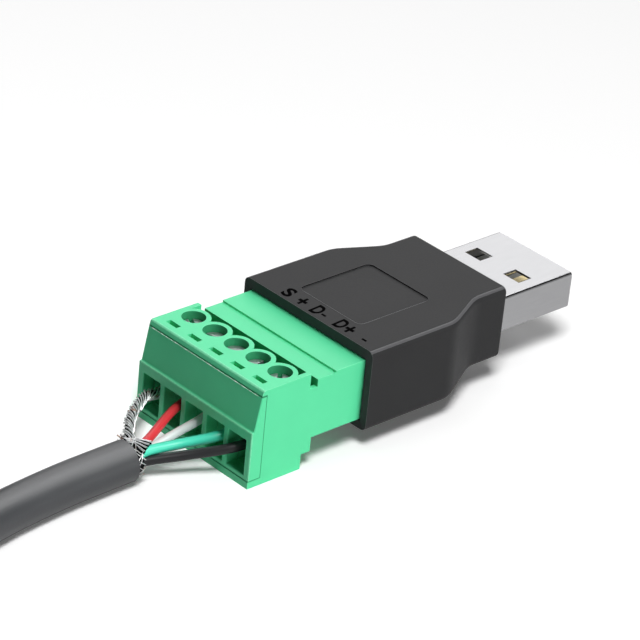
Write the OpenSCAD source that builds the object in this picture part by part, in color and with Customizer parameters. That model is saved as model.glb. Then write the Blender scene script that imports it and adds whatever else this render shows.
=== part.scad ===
// USB plug to screw terminal adapter: a black case with a USB plug at one end and a
// five-way pluggable terminal block at the other, with a shielded cable wired into it.
// X runs along the object towards the USB tip, Z is up, and the underside of the block is at zero.

/* [Terminal plug] */
// Distance between neighbouring poles
pitch = 3.5; // [3.4:0.05:3.8]
// Distance from an end pole to the side of the plug
end_margin = 2.2; // [2.1:0.05:2.6]
// Height of the screw towers
tower_h = 11.5; // [11.2:0.1:12.5]
// Depth of the plug that stands out of the case
plug_out = 15.5; // [14:0.1:17]
// Depth of the tongue inside the case
plug_in = 6.5; // [5.5:0.1:7]
// Height of the underside of the tongue
tongue_z = 3.5; // [3.2:0.1:3.8]
// Height of the front strip of the tongue's top
tongue_top = 10.5; // [10.2:0.1:11]
// Rise of the tongue's rear strip above its front strip
tongue_rise = 0.25; // [0.1:0.05:0.5]
// Distance from the wire face to the step on the tongue
step_back = 11.4; // [10.5:0.1:13]
// Distance from the wire face to the front of the tongue's top
tongue_front = 8.85; // [8.6:0.05:9.5]
// Distance from the wire face to the back of the tower's end walls
tower_back = 7.8; // [7.5:0.1:8.2]
// Distance from the wire face to the front edge of the tower's top
tower_front = 1.25; // [1:0.05:1.5]
// Depth of the chamfer along the tower's front edge
lip_chamfer = 0.2; // [0.1:0.05:0.4]
// Height of the lip that holds the front cover's top
lip_h = 0.6; // [0.4:0.05:0.9]
// Height of the slot's floor between towers and tongue
slot_z = 9.6; // [9.2:0.1:10]
// Height of the pocket's floor between the end walls
pocket_z = 8.95; // [8.9:0.05:9.2]
// Thickness of the tower's end walls
end_wall = 0.6; // [0.4:0.05:0.9]
// Distance from the wire face to the back of the foot
foot_back = 7.4; // [7.2:0.1:8]
// Height of the step behind the foot
foot_h = 1.8; // [1.5:0.1:2.2]
// Distance from the wire face to the back of the block
block_back = 8.65; // [8.4:0.05:9]

/* [Wire entries] */
// Depth of the front cover
cover_back = 1.75; // [1.5:0.05:2]
// Height of the seam below the front cover
cover_z = 0.85; // [0.6:0.05:1.2]
// Height of the ledge above the wire entries
ledge_z = 6.8; // [6.3:0.1:7.3]
// Set-back of the ledge
ledge_in = 0.3; // [0.1:0.05:0.5]
// Set-back of the cover at its top
slope_in = 1.05; // [0.8:0.05:1.3]
// How far the cover stands proud of the block's sides
cover_proud = 0.06; // [0.02:0.02:0.12]
// Width of a wire entry and of the chamber behind it
cell_w = 2.8; // [2.75:0.05:2.95]
// Height of the chamber's floor
cell_z = 1.4; // [1.2:0.05:1.6]
// Height of the top of a wire entry
entry_top = 5.6; // [5.3:0.1:6.2]
// Height of the chamber's roof
cell_top = 8.3; // [8.25:0.05:8.5]
// Length of a probe slot along the object
probe_l = 0.65; // [0.4:0.05:0.9]
// Width of a probe slot
probe_w = 1.75; // [1.2:0.05:2]
// Distance from the tower's front edge to the probe slots
probe_back = 1.27; // [1.1:0.05:1.5]

/* [Clamps] */
// Distance from the wire face to the screws
screw_back = 5.35; // [5.2:0.05:5.5]
// Diameter of a screw hole
hole_d = 2.7; // [2.6:0.05:2.8]
// Thickness of the tower wall behind a screw hole
tower_wall = 0.55; // [0.45:0.05:0.7]
// Gap round a screw head
head_gap = 0.08; // [0.04:0.01:0.1]
// Height of a screw head
head_h = 1.4; // [0.8:0.1:1.6]
// Width of a screw's slot
slot_w = 0.45; // [0.3:0.05:0.6]
// Depth of a screw's slot
slot_d = 0.5; // [0.3:0.05:0.6]
// Diameter of a screw's shank
shank_d = 2; // [1.8:0.05:2.05]
// Running gap round a shank
shank_gap = 0.05; // [0.02:0.01:0.08]
// Height of the plastic that carries a screw head
seat_h = 0.85; // [0.6:0.05:1]
// Length of a clamp cage along the object
cage_l = 2.8; // [2.4:0.1:2.9]
// Gap between a cage and its chamber
cage_gap = 0.1; // [0.05:0.01:0.12]
// Thickness of a cage's side plates
cage_side = 0.25; // [0.2:0.05:0.35]
// Thickness of a cage's bottom plate
cage_floor = 0.6; // [0.4:0.05:0.8]
// Thickness of a cage's threaded plate
cage_nut = 1.5; // [1:0.1:1.7]
// Gap above a cage that is screwed up tight
cage_top_gap = 0.3; // [0.1:0.05:0.4]

/* [Contacts] */
// Thickness of a current bar
bar_t = 0.55; // [0.4:0.05:0.65]
// Width of a current bar
bar_w = 1.6; // [1.3:0.05:1.7]
// Height of the underside of a current bar
bar_z = 4.4; // [4.3:0.05:4.6]
// Thickness of a spring leaf
leaf_t = 0.4; // [0.3:0.05:0.5]
// Gap between a spring leaf and its pin
leaf_gap = 0.02; // [0.01:0.01:0.05]
// Gap round a current bar in its channel
channel_gap = 0.2; // [0.1:0.05:0.3]
// Thickness of the wall at the end of the tongue
tongue_wall = 1; // [0.7:0.1:1.4]
// Side of a square header pin
pin_s = 0.8; // [0.6:0.05:0.9]
// Clear space round a pin in the end of the tongue
pin_room = 0.25; // [0.15:0.05:0.4]
// Distance from the case's front to the pin tips
pin_set_back = 1; // [0.5:0.1:2]
// Length of the pins on the board
pin_tail = 2.5; // [1.5:0.1:3]
// Thickness of the header base
base_t = 2; // [1.5:0.1:2.5]
// Fitting gap of pins, board and header base
fit_gap = 0.05; // [0.02:0.01:0.1]

/* [Case] */
// Length of the case
case_l = 22.9; // [22:0.1:26]
// Thickness of the side walls at the socket
case_wall = 1; // [0.7:0.05:1.2]
// Thickness of the roof at the socket
case_roof = 1.2; // [0.8:0.05:1.5]
// Thickness of the floor at the socket
case_floor = 0.95; // [0.6:0.05:1.2]
// Gap round the tongue in its socket
plug_gap = 0.15; // [0.1:0.01:0.25]
// Distance from the front to the start of the taper
taper_start = 12.5; // [12:0.1:13.5]
// Distance from the front to the end of the taper
taper_end = 18; // [17:0.1:19]
// Radius of the long edges
case_r = 0.75; // [0.5:0.05:1.1]
// Radius of the edges at the USB end
rear_r = 0.45; // [0.2:0.05:0.45]
// Length that the bends of the taper are rounded over, each way
knee_r = 1; // [0.4:0.1:1.5]
// Thickness of plastic beside the USB shell
usb_wall = 1.65; // [1:0.05:2]
// Thickness of plastic below the USB shell
usb_floor = 1.9; // [1.4:0.1:2.2]
// Distance from the front to the panel on the roof
panel_front = 3; // [2.5:0.05:4]
// Length of the panel
panel_l = 10.6; // [8:0.1:12]
// Width of the panel
panel_w = 9.9; // [7:0.1:12]
// Radius of the panel's corners
panel_r = 0.8; // [0.5:0.1:2]
// Depth of the panel
panel_d = 0.15; // [0.1:0.05:0.4]
// Width of the circuit board
board_w = 12.6; // [11.5:0.1:12.8]
// Distance from an end pin to the side of the board's wide end
board_edge = 1.1; // [0.7:0.1:1.4]
// Length of the board's wide end
board_head = 3.2; // [3:0.1:3.4]
// Thickness of the circuit board
board_t = 1; // [0.8:0.1:1.6]
// Width of the ledges below the board
ledge_w = 1.2; // [0.8:0.1:2]
// Depth of the space below the board
under_h = 1.8; // [1:0.1:2.2]

/* [USB plug] */
// Width of the shell
shell_w = 12; // [11.8:0.1:12.2]
// Height of the shell
shell_h = 4.5; // [4.4:0.1:4.6]
// Thickness of the shell's sheet
shell_t = 0.3; // [0.25:0.05:0.35]
// Outer radius of the shell's folds
shell_r = 0.4; // [0.4:0.05:0.9]
// Length of the shell outside the case
shell_out = 12.3; // [11.75:0.05:14]
// Length of the shell inside the case
shell_in = 5; // [4:0.1:6]
// Height of the middle of the shell
usb_z = 7.35; // [7.2:0.05:7.6]
// Length of a window along the shell
window_l = 2; // [1.6:0.1:2.5]
// Width of a window
window_w = 2.5; // [2:0.1:3]
// Distance from the tip to the windows
window_tip = 5; // [4.5:0.1:6]
// Distance from the middle of the shell to the middle of a window
window_y = 3.1; // [2.8:0.1:3.6]
// Thickness of the insulator's plate
plate_t = 1.95; // [1.7:0.05:2.1]
// Gap between insulator and shell
plate_gap = 0.1; // [0.05:0.01:0.2]
// Set-back of the insulator from the tip
plate_tip = 0.4; // [0.2:0.1:1]
// Length of the insulator's rear block
heel_l = 3; // [2:0.1:3.5]
// Width of a contact
contact_w = 1; // [0.8:0.1:1.2]
// Thickness of a contact
contact_t = 0.2; // [0.15:0.05:0.3]
// Depth of a contact's groove in the plate
groove_d = 0.15; // [0.1:0.05:0.2]
// Set-back of a contact from the tip
contact_tip = 1.6; // [1:0.1:2.5]
// Length of a contact on the board
contact_tail = 2; // [1:0.1:2.5]

/* [Cable] */
// Length of bare wires between the cable's jacket and the wire face
wire_show = 9.4; // [8.5:0.1:10]
// Diameter of the cable
cable_d = 4.7; // [4.4:0.1:5]
// Diameter of a wire
wire_d = 1; // [0.8:0.05:1]
// Diameter of a bare core
core_d = 0.5; // [0.3:0.05:0.55]
// Diameter of the twisted shield
twist_d = 1.1; // [0.8:0.05:1.2]
// Diameter of the braid collar
braid_d = 4.4; // [4.2:0.1:4.6]
// Thickness of the braid collar
braid_t = 0.45; // [0.3:0.05:0.6]
// Length of the braid collar
braid_l = 1; // [0.7:0.1:1]
// Radius of the coil at the middle of its turns
coil_r = 26; // [25:0.5:30]
// Turns of the coil beside each other
coil_wide = 2; // [1:1:3]
// Turns of the coil on each other
coil_high = 3; // [2:1:4]
// Thickness of the tie
tie_t = 0.6; // [0.4:0.1:1]
// Width of the tie
tie_w = 4; // [3:0.5:5]
// Gap between the tie and the coil
tie_gap = 0.2; // [0.2:0.05:0.5]

/* [Device plug] */
// Width of the grip
grip_w = 11.5; // [10:0.1:12]
// Height of the grip
grip_h = 10.5; // [9.5:0.1:11]
// Length of the grip
grip_l = 17; // [14:0.5:22]
// Radius of the grip's edges
grip_r = 1.5; // [0.5:0.1:2.5]
// Length of the strain relief
boot_l = 10; // [7:0.5:14]
// Diameter of the strain relief at the grip
boot_d = 8; // [7:0.1:9]
// Width of the device plug's shell
dev_w = 8.4; // [8:0.1:8.6]
// Height of the device plug's shell
dev_h = 7.8; // [7.3:0.1:8]
// Length of the device plug's shell
dev_l = 11.7; // [10:0.1:13]
// Size of the shell's cut corners
dev_cut = 1.6; // [1:0.1:2]
// Thickness of the shell's sheet
dev_t = 0.35; // [0.25:0.05:0.4]
// Width of the device plug's insulator
dev_core_w = 5.6; // [5:0.1:5.8]
// Height of the device plug's insulator
dev_core_h = 3.2; // [2.8:0.1:3.4]

/* [Hidden] */

poles = 5;
cut = 1;
$fn = 48;

// Places along X, chained from the USB tip, with the origin half way between tip and cable
total_l = shell_out + case_l + plug_out + wire_show;
tip_x = total_l / 2;
rear_x = tip_x - shell_out;
front_x = rear_x - case_l;
face_x = front_x - plug_out;
jacket_x = face_x - wire_show;
screw_x = face_x + screw_back;
tongue_x = front_x + plug_in;
base_x = tongue_x + plug_gap + fit_gap;
board_x = base_x + base_t + fit_gap;
heel_x = rear_x - shell_in;

// Widths and heights that follow from the plug and the shell
block_w = (poles - 1) * pitch + 2 * end_margin;
rise_top = tongue_top + tongue_rise;
socket_w = block_w + 2 * plug_gap;
socket_z = tongue_z - plug_gap;
socket_top = rise_top + plug_gap;
case_w = socket_w + 2 * case_wall;
case_z = socket_z - case_floor;
case_top = socket_top + case_roof;
shell_z = usb_z - shell_h / 2;
usb_end_w = shell_w + 2 * usb_wall;
usb_end_z = shell_z - usb_floor;
plate_top = shell_z + shell_t + plate_t;
board_top = plate_top - groove_d;
head_w = (poles - 1) * pitch + 2 * board_edge;
pin_z = board_top + pin_s / 2;

// Clamp heights: the cage is drawn screwed up tight on its wire
cover_top = tower_h - lip_h;
seat_z = cell_top + seat_h;
head_z = seat_z + fit_gap;
shank_z = bar_z + bar_t + 2 * fit_gap;
cage_w = cell_w - 2 * cage_gap;
cage_top = cell_top - cage_top_gap;
clamp_z = bar_z - fit_gap - core_d / 2;
cage_grip = clamp_z - core_d / 2 - fit_gap;
cage_back = screw_back + cage_l / 2 + cage_gap;
bar_front = screw_back - cage_l / 2 - cage_gap;
channel_w = bar_w + 2 * channel_gap;
riser_front = cage_back + channel_gap;
riser_back = riser_front + bar_t;
fork_end = plug_out + plug_in - tongue_wall - channel_gap;
leaf_low = pin_z - pin_s / 2 - leaf_gap;
leaf_high = pin_z + pin_s / 2 + leaf_gap;

// Wires: where the jacket ends, where the insulation is stripped, and where the cores stop
jacket_y = -0.55;
cable_z = cable_d / 2;
strip_x = face_x + bar_front - channel_gap;
core_x = screw_x + cage_l / 2 - channel_gap;
lay = 0.6;
wire_sides = 10;
red_route = [[3.2, 0.15, 3.3], [7.5, 2.05, 3.85], [9.6, 2.8, 4.1]];
white_route = [[2.6, 0.3, 1.9], [5.5, 0.6, 2.15], [8, 0.3, 2.9], [10, -0.2, 3.75]];
green_route = [[2.5, -1.2, 3.1], [5.9, -2.1, 3.2], [9.8, -4.1, 4]];
black_route = [[1.9, -1.4, 2.1], [5.9, -3.8, 2.75], [9.4, -6.3, 3.65]];
twist_route = [[3.9, 3.75, 3.8], [6.4, 5.75, 3.6], [9.1, 7.1, 3.45], [11.7, 7.05, 3.85]];

// Cable: the lead runs off the wires to the coil, and the tail leaves the far side of the coil
coil_x = -70;
coil_y = 22.35;
coil_z = tie_t + tie_gap;
coil_section = [coil_wide * cable_d, coil_high * cable_d];
coil_out = coil_r + cable_d / 2;
tie_angle = 200;
device_y = coil_y + coil_out;
device_z = grip_h / 2;
device_x = -42;
boot_x = device_x - boot_l;
cable_sides = 12;
lead_route = [
    [-34, -0.6, cable_z], [-39.5, -0.8, cable_z], [-47, -1.6, cable_z], [-55, -3.4, cable_z + 0.2],
    [-63, -5.4, cable_z + 0.6]
];
tail_route = [[coil_x + 5, device_y, coil_z + 1.4 * cable_d]];

function pole_y(i) = ((poles + 1) / 2 - i) * pitch;
function contact_y(i) = [3.5, 1, -1, -3.5][i - 1];
function unit(v) = v / norm(v);
function catmull(a, b, c, d, t) = 0.5 * (2 * b + (c - a) * t + (2 * a - 5 * b + 4 * c - d) * t * t
    + (3 * b - a - 3 * c + d) * t * t * t);
function smooth(p, n) = [
    for (i = [0:len(p) - 2])
        for (k = [0:n - 1])
            catmull(p[max(i - 1, 0)], p[i], p[i + 1], p[min(i + 2, len(p) - 1)], k / n),
    p[len(p) - 1]
];
function heading(q, i) = unit(q[min(i + 1, len(q) - 1)] - q[max(i - 1, 0)]);
function ring(p, t, r, n) =
    let (side = unit(cross(t, [0, 0, 1])), up = cross(side, t))
    [for (k = [0:n - 1]) p + r * (cos(360 * k / n) * side + sin(360 * k / n) * up)];

// Round corner of a path of stations at b, between a and c
function ease(a, b, c) =
    let (p = b + (a - b) * knee_r / abs((a - b)[0]), q = b + (c - b) * knee_r / abs((c - b)[0]))
    [for (t = [0:0.25:1]) (1 - t) * (1 - t) * p + 2 * t * (1 - t) * b + t * t * q];
// Section of the case at x: width w, underside z, and how far its outline is drawn in
function case_ring(x, w, z, inset) = [
    for (c = [[-1, 1, 0], [1, 1, 90], [1, -1, 180], [-1, -1, 270]])
        for (a = [0:15:90])
            [x, c.x * (w / 2 - case_r) - (case_r - inset) * cos(c.z + a),
                (c.y > 0 ? case_top - case_r : z + case_r) + (case_r - inset) * sin(c.z + a)]
];

// Closed solid through rings that have the same number of points
module skin(rings) {
    n = len(rings[0]);
    last = len(rings) - 1;
    walls = [for (i = [0:last - 1]) for (k = [0:n - 1])
        [i * n + k, i * n + (k + 1) % n, (i + 1) * n + (k + 1) % n, (i + 1) * n + k]];
    start = [for (k = [0:n - 1]) n - 1 - k];
    end = [for (k = [0:n - 1]) last * n + k];
    polyhedron(points = [for (r = rings) each r], faces = concat(walls, [start], [end]));
}

// Tube along the path q, with a radius for each of its points
module tube(q, r, n) {
    skin([for (i = [0:len(q) - 1]) ring(q[i], heading(q, i), r[i], n)]);
}

// Rectangle with round corners, its lower left corner at the origin
module round_rect(w, h, r) {
    translate([r, 0]) square([w - 2 * r, h]);
    translate([0, r]) square([w, h - 2 * r]);
    for (x = [r, w - r]) {
        for (y = [r, h - r]) {
            translate([x, y]) circle(r);
        }
    }
}

// Bar along X with round long edges, from y and z upwards
module bar_x(l, y, z, w, h, r) {
    rotate([90, 0, 90]) linear_extrude(l) translate([y, z]) round_rect(w, h, r);
}

// Outline in X and Z, extruded to width w about the middle plane
module profile_y(w) {
    rotate([90, 0, 0]) linear_extrude(w, center = true) children();
}

module box(x, w, z, l, h) {
    translate([x, -w / 2, z]) cube([l, w, h]);
}

// Outside of the case, from its front face: a loft that tapers to the USB end and rounds off there
module case_form() {
    front = [0, case_w, case_z, 0];
    wide = [taper_start, case_w, case_z, 0];
    narrow = [taper_end, usb_end_w, usb_end_z, 0];
    back = [case_l - rear_r, usb_end_w, usb_end_z, 0];
    end = [for (a = [0:15:90]) back + [rear_r * sin(a), 0, 0, rear_r * (1 - cos(a))]];
    stations = concat([front], ease(front, wide, narrow), ease(wide, narrow, back), end);
    skin([for (t = stations) case_ring(t[0], t[1], t[2], t[3])]);
}

// One-piece case: socket for the tongue, chamber for the board, pocket for the shell
module case() {
    board_l = heel_x - board_x;
    color("#3a3a3c") translate([front_x, 0, 0]) difference() {
        case_form();
        box(-cut, socket_w, socket_z, board_x - front_x + cut, socket_top - socket_z);
        box(board_x - front_x - cut, board_w + 2 * fit_gap, board_top - board_t - fit_gap,
            board_l + 2 * cut, socket_top - board_top + board_t + fit_gap);
        box(board_x - front_x - cut, head_w + 2 * fit_gap, board_top - board_t - fit_gap,
            board_head + cut + 2 * fit_gap, socket_top - board_top + board_t + fit_gap);
        box(board_x - front_x - cut, board_w - 2 * ledge_w, board_top - board_t - under_h,
            board_l + cut, under_h + board_t);
        translate([case_l - shell_in - fit_gap, 0, 0])
            bar_x(shell_in + cut, -shell_w / 2 - fit_gap, shell_z - fit_gap,
                shell_w + 2 * fit_gap, shell_h + 2 * fit_gap, shell_r);
        translate([panel_front, -panel_w / 2, case_top - panel_d])
            linear_extrude(panel_d + cut) round_rect(panel_l, panel_w, panel_r);
    }
}

module header_base() {
    color("#202022") difference() {
        box(base_x, socket_w - 2 * fit_gap, socket_z + fit_gap, base_t, socket_top - socket_z - 2 * fit_gap);
        for (i = [1:poles]) {
            translate([0, pole_y(i), pin_z]) box(base_x - cut, pin_s + fit_gap, -(pin_s + fit_gap) / 2,
                base_t + 2 * cut, pin_s + fit_gap);
        }
    }
}

// Square pin with a pointed tip, from the socket's mouth to its tail on the board
module header_pin(i) {
    tip = pin_s / 2;
    back = board_x + pin_tail - front_x - pin_set_back;
    color("#d9c27a") translate([front_x + pin_set_back, pole_y(i), pin_z]) intersection() {
        profile_y(pin_s) polygon([[0, -tip / 2], [tip, -tip], [back, -tip], [back, tip], [tip, tip], [0, tip / 2]]);
        linear_extrude(2 * pin_s, center = true)
            polygon([[0, -tip / 2], [tip, -tip], [back, -tip], [back, tip], [tip, tip], [0, tip / 2]]);
    }
}

// Board with a wide end that carries the pins
module board() {
    color("#1f6b3a") translate([fit_gap, 0, board_top - board_t]) {
        box(board_x, board_w, 0, heel_x - board_x - 2 * fit_gap, board_t);
        box(board_x, head_w, 0, board_head, board_t);
    }
}

// Sheet shell of the plug, with two windows above and two below
module usb_shell() {
    inside_r = shell_r - shell_t;
    color("#d6d6d8") difference() {
        translate([heel_x, 0, shell_z])
            bar_x(shell_in + shell_out, -shell_w / 2, 0, shell_w, shell_h, shell_r);
        translate([heel_x - cut, 0, shell_z + shell_t])
            bar_x(shell_in + shell_out + 2 * cut, -shell_w / 2 + shell_t, 0,
                shell_w - 2 * shell_t, shell_h - 2 * shell_t, inside_r);
        for (side = [-1, 1]) {
            translate([0, side * window_y, 0])
                box(tip_x - window_tip - window_l, window_w, shell_z - cut, window_l, shell_h + 2 * cut);
        }
    }
}

// Plate that carries the contacts, with a heel that fills the shell inside the case
module usb_insulator() {
    inner_w = shell_w - 2 * shell_t - 2 * plate_gap;
    floor_z = shell_z + shell_t + plate_gap;
    color("#ececea") difference() {
        union() {
            box(heel_x + fit_gap, inner_w, floor_z, tip_x - plate_tip - heel_x - fit_gap, plate_top - floor_z);
            box(heel_x + fit_gap, inner_w, floor_z, heel_l, shell_h - 2 * shell_t - 2 * plate_gap);
        }
        for (i = [1:4]) {
            translate([0, contact_y(i), 0]) box(heel_x - cut, contact_w + 2 * fit_gap, plate_top - groove_d,
                tip_x - contact_tip - heel_x + cut + fit_gap, contact_t + fit_gap);
        }
    }
}

module usb_contact(i) {
    color("#e3bd5c") translate([0, contact_y(i), 0])
        box(heel_x - contact_tail, contact_w, board_top, tip_x - contact_tip - heel_x + contact_tail, contact_t);
}

// Space behind the towers, which leaves a round wall behind each screw hole
module tower_pocket() {
    difference() {
        box(screw_back, block_w - 2 * end_wall, pocket_z, tongue_front - screw_back, tower_h);
        for (i = [1:poles]) {
            translate([screw_back, pole_y(i), 0]) cylinder(h = 2 * tower_h, d = hole_d + 2 * tower_wall);
        }
    }
}

// Everything that is open at one pole: chamber, current bar channel, screw hole and probe slot
module pole_space() {
    end = plug_out + plug_in;
    box(cover_back - cut, cell_w, cell_z, cage_back - cover_back + cut, cell_top - cell_z);
    box(cage_back - cut, channel_w, bar_z - channel_gap, riser_back + channel_gap - cage_back + cut,
        leaf_high + leaf_t + channel_gap - bar_z + channel_gap);
    box(riser_back, channel_w, leaf_low - leaf_t - channel_gap, end - tongue_wall - riser_back,
        leaf_high - leaf_low + 2 * leaf_t + 2 * channel_gap);
    box(end - tongue_wall - cut, pin_s + 2 * pin_room, pin_z - pin_s / 2 - pin_room,
        tongue_wall + 2 * cut, pin_s + 2 * pin_room);
    translate([screw_back, 0, cell_top - cut]) cylinder(h = seat_h + 2 * cut, d = shank_d + 2 * shank_gap);
    translate([screw_back, 0, seat_z]) cylinder(h = tower_h, d = hole_d);
    box(tower_front + probe_back - probe_l / 2, probe_w, cell_top - cut, probe_l, tower_h);
}

// Main moulding of the terminal plug: foot, block, towers and tongue
module plug_body() {
    end = plug_out + plug_in;
    outline = [
        [0, 0], [foot_back, 0], [foot_back, foot_h], [block_back, foot_h], [block_back, tongue_z],
        [end, tongue_z], [end, rise_top], [step_back, rise_top], [step_back, tongue_top],
        [tongue_front, tongue_top], [tongue_front, slot_z], [tower_back, slot_z], [tower_back, tower_h],
        [tower_front, tower_h], [tower_front - lip_chamfer, cover_top], [cover_back, cover_top],
        [cover_back, cover_z], [0, cover_z]
    ];
    color("#6be3a6") translate([face_x, 0, 0]) difference() {
        profile_y(block_w) polygon(outline);
        tower_pocket();
        for (i = [1:poles]) {
            translate([0, pole_y(i), 0]) pole_space();
        }
    }
}

// Front cover with the wire entries, pressed on after the clamps are in
module plug_cover() {
    outline = [
        [0, cover_z], [cover_back, cover_z], [cover_back, cover_top], [slope_in, cover_top],
        [ledge_in, ledge_z], [0, ledge_z]
    ];
    color("#63d99c") translate([face_x, 0, 0]) difference() {
        profile_y(block_w + 2 * cover_proud) polygon(outline);
        for (i = [1:poles]) {
            translate([0, pole_y(i), 0]) box(-cut, cell_w, cell_z, cover_back + 2 * cut, entry_top - cell_z);
        }
    }
}

// Current bar that runs through the cage and forks round the header pin
module fork(i) {
    outline = [
        [bar_front, bar_z], [riser_back, bar_z], [riser_back, leaf_low - leaf_t],
        [fork_end, leaf_low - leaf_t], [fork_end, leaf_low], [riser_back, leaf_low], [riser_back, leaf_high],
        [fork_end, leaf_high], [fork_end, leaf_high + leaf_t], [riser_front, leaf_high + leaf_t],
        [riser_front, bar_z + bar_t], [bar_front, bar_z + bar_t]
    ];
    color("#c9b37a") translate([face_x, pole_y(i), 0]) profile_y(bar_w) polygon(outline);
}

// Slotted screw: the head turns in the tower, the shank in its seat, the tip just above the bar
module clamp_screw(i) {
    head_d = hole_d - 2 * head_gap;
    color("#c4c6c8") translate([screw_x, pole_y(i), 0]) difference() {
        union() {
            translate([0, 0, shank_z]) cylinder(h = head_z + head_h / 2 - shank_z, d = shank_d);
            translate([0, 0, head_z]) cylinder(h = head_h, d = head_d);
        }
        rotate([0, 0, 25 + 40 * i]) translate([-hole_d, -slot_w / 2, head_z + head_h - slot_d])
            cube([2 * hole_d, slot_w, slot_d + cut]);
    }
}

// Rising cage: a square tube round bar and wire, with the threaded plate on top
module clamp_cage(i) {
    base_z = cage_grip - cage_floor;
    window_h = cage_top - cage_nut - cage_grip;
    color("#b9bbbd") translate([screw_x, pole_y(i), 0]) difference() {
        box(-cage_l / 2, cage_w, base_z, cage_l, cage_top - base_z);
        box(-cage_l, cage_w - 2 * cage_side, cage_grip, 2 * cage_l, window_h);
        translate([0, 0, cage_grip + window_h / 2]) cylinder(h = tower_h, d = shank_d + 2 * shank_gap);
    }
}

// Wire from the jacket's end to its clamp: a smooth route, then a bare core in the cage
module wire(i, start, route, tint) {
    bend = smooth(concat(
        [[jacket_x + braid_l, start.x, start.y]],
        [for (p = route) [jacket_x + p.x, p.y, p.z]],
        [[strip_x - 1, pole_y(i), clamp_z]]
    ), 3);
    path = concat([[jacket_x, start.x, start.y]], bend, [[strip_x, pole_y(i), clamp_z]]);
    bare = [[strip_x, pole_y(i), clamp_z], [core_x, pole_y(i), clamp_z]];
    radii = concat([for (p = path) wire_d / 2], [for (p = bare) core_d / 2]);
    color(tint) tube(concat(path, bare), radii, wire_sides);
}

module wire_red() {
    wire(2, [jacket_y + lay, cable_z + lay], red_route, "#d8323f");
}

module wire_white() {
    wire(3, [jacket_y + lay, cable_z - lay], white_route, "#e4e8e8");
}

module wire_green() {
    wire(4, [jacket_y - lay, cable_z + lay], green_route, "#4fe3c0");
}

module wire_black() {
    wire(5, [jacket_y - lay, cable_z - lay], black_route, "#26272b");
}

// Braid strands twisted together, from the collar to the first clamp
module shield_twist() {
    out = (braid_d - braid_t) / 2;
    lean = 35;
    start = [jacket_x + braid_l, jacket_y + out * cos(lean), cable_z + out * sin(lean)];
    bend = smooth(concat(
        [start + [braid_l / 2, 0, 0]],
        [for (p = twist_route) [jacket_x + p.x, p.y, p.z]],
        [[strip_x - 1, pole_y(1), clamp_z]]
    ), 3);
    path = concat([start], bend, [[strip_x, pole_y(1), clamp_z]]);
    bare = [[strip_x, pole_y(1), clamp_z], [core_x, pole_y(1), clamp_z]];
    radii = concat([for (p = path) twist_d / 2], [for (p = bare) core_d / 2]);
    color("#b9babc") tube(concat(path, bare), radii, wire_sides);
}

module braid_collar() {
    color("#c2c3c5") translate([jacket_x, jacket_y, cable_z]) rotate([0, 90, 0]) difference() {
        cylinder(h = braid_l, d = braid_d);
        translate([0, 0, -cut]) cylinder(h = braid_l + 2 * cut, d = braid_d - 2 * braid_t);
    }
}

module cable_lead() {
    path = concat([[jacket_x, jacket_y, cable_z]], smooth(concat(
        [[jacket_x - braid_l, jacket_y, cable_z]],
        lead_route,
        [[coil_x, coil_y - coil_out, coil_z + cable_d / 2]]
    ), 2));
    color("#55575b") tube(path, [for (p = path) cable_d / 2], cable_sides);
}

module cable_coil() {
    color("#55575b") translate([coil_x, coil_y, coil_z]) rotate_extrude($fn = 96)
        translate([coil_r - coil_section.x / 2, 0]) round_rect(coil_section.x, coil_section.y, cable_d / 3);
}

module cable_tail() {
    path = concat(smooth(concat(
        [[coil_x, device_y, coil_z + 1.5 * cable_d]],
        tail_route,
        [[boot_x - 1, device_y, device_z]]
    ), 3), [[boot_x, device_y, device_z]]);
    color("#55575b") tube(path, [for (p = path) cable_d / 2], cable_sides);
}

// Flat tie round the coil
module cable_tie() {
    room = [coil_section.x + 2 * tie_gap, coil_section.y + 2 * tie_gap];
    color("#1f1f21") translate([coil_x, coil_y, 0]) rotate([0, 0, tie_angle])
        translate([coil_r, -tie_w / 2, 0]) rotate([-90, 0, 0]) linear_extrude(tie_w) mirror([0, 1]) difference() {
            translate([-room.x / 2 - tie_t, 0]) round_rect(room.x + 2 * tie_t, room.y + 2 * tie_t, cable_d / 3 + tie_t);
            translate([-room.x / 2, tie_t]) round_rect(room.x, room.y, cable_d / 3);
        }
}

// Moulded grip with a ribbed strain relief, at the far end of the cable
module device_grip() {
    rib = boot_l / 10;
    thin = cable_d / 2 + 0.6;
    slope = (boot_d / 2 - thin) / boot_l;
    boot = concat(
        [[0, boot_l], [0, 0]],
        [for (k = [0:9]) each [
            [thin + slope * k * rib - (k % 3 == 1 ? 0.5 : 0), k * rib],
            [thin + slope * (k + 1) * rib - (k % 3 == 1 ? 0.5 : 0), (k + 1) * rib]
        ]]
    );
    color("#2b2c2f") translate([device_x, device_y, device_z]) {
        bar_x(grip_l, -grip_w / 2, -grip_h / 2, grip_w, grip_h, grip_r);
        translate([-boot_l, 0, 0]) rotate([0, 90, 0]) rotate_extrude() polygon(boot);
    }
}

module dev_outline(inset) {
    w = dev_w / 2 - inset;
    h = dev_h / 2 - inset;
    c = dev_cut - inset * 0.6;
    polygon([[-w, -h], [w, -h], [w, h - c], [w - c, h], [c - w, h], [-w, h - c]]);
}

module device_shell() {
    color("#d6d6d8") translate([device_x + grip_l, device_y, device_z]) rotate([90, 0, 90]) linear_extrude(dev_l)
        difference() {
            dev_outline(0);
            dev_outline(dev_t);
        }
}

module device_core() {
    color("#ececea") translate([device_x + grip_l, device_y, device_z])
        bar_x(dev_l - 1, -dev_core_w / 2, -dev_core_h / 2, dev_core_w, dev_core_h, 0.4);
}

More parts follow.
